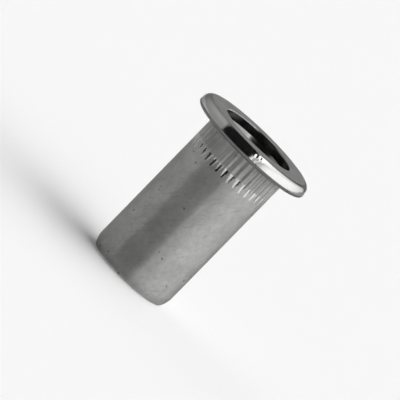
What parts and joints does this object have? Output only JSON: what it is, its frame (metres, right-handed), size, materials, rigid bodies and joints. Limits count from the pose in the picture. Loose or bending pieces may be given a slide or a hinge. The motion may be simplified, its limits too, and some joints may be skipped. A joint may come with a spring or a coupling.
{
  "type": "rivet nut",
  "caption": "Flat-head rivet nut: round flange with a rounded rim, straight knurl under it, plain sleeve that folds when set, and a threaded open tail.",
  "frame": {"origin": "on the axis, in the plane of the head's underside, which seats on the sheet", "axes": "+Z along the axis, out of the head, the way the screw leaves; X and Y are equal"},
  "size_m": [0.016, 0.016, 0.0215],
  "materials": {
    "steel": "satin plated, with a polished rim"
  },
  "bodies": {
    "root": {"rivet_nut": "steel"}
  },
  "joints": []
}
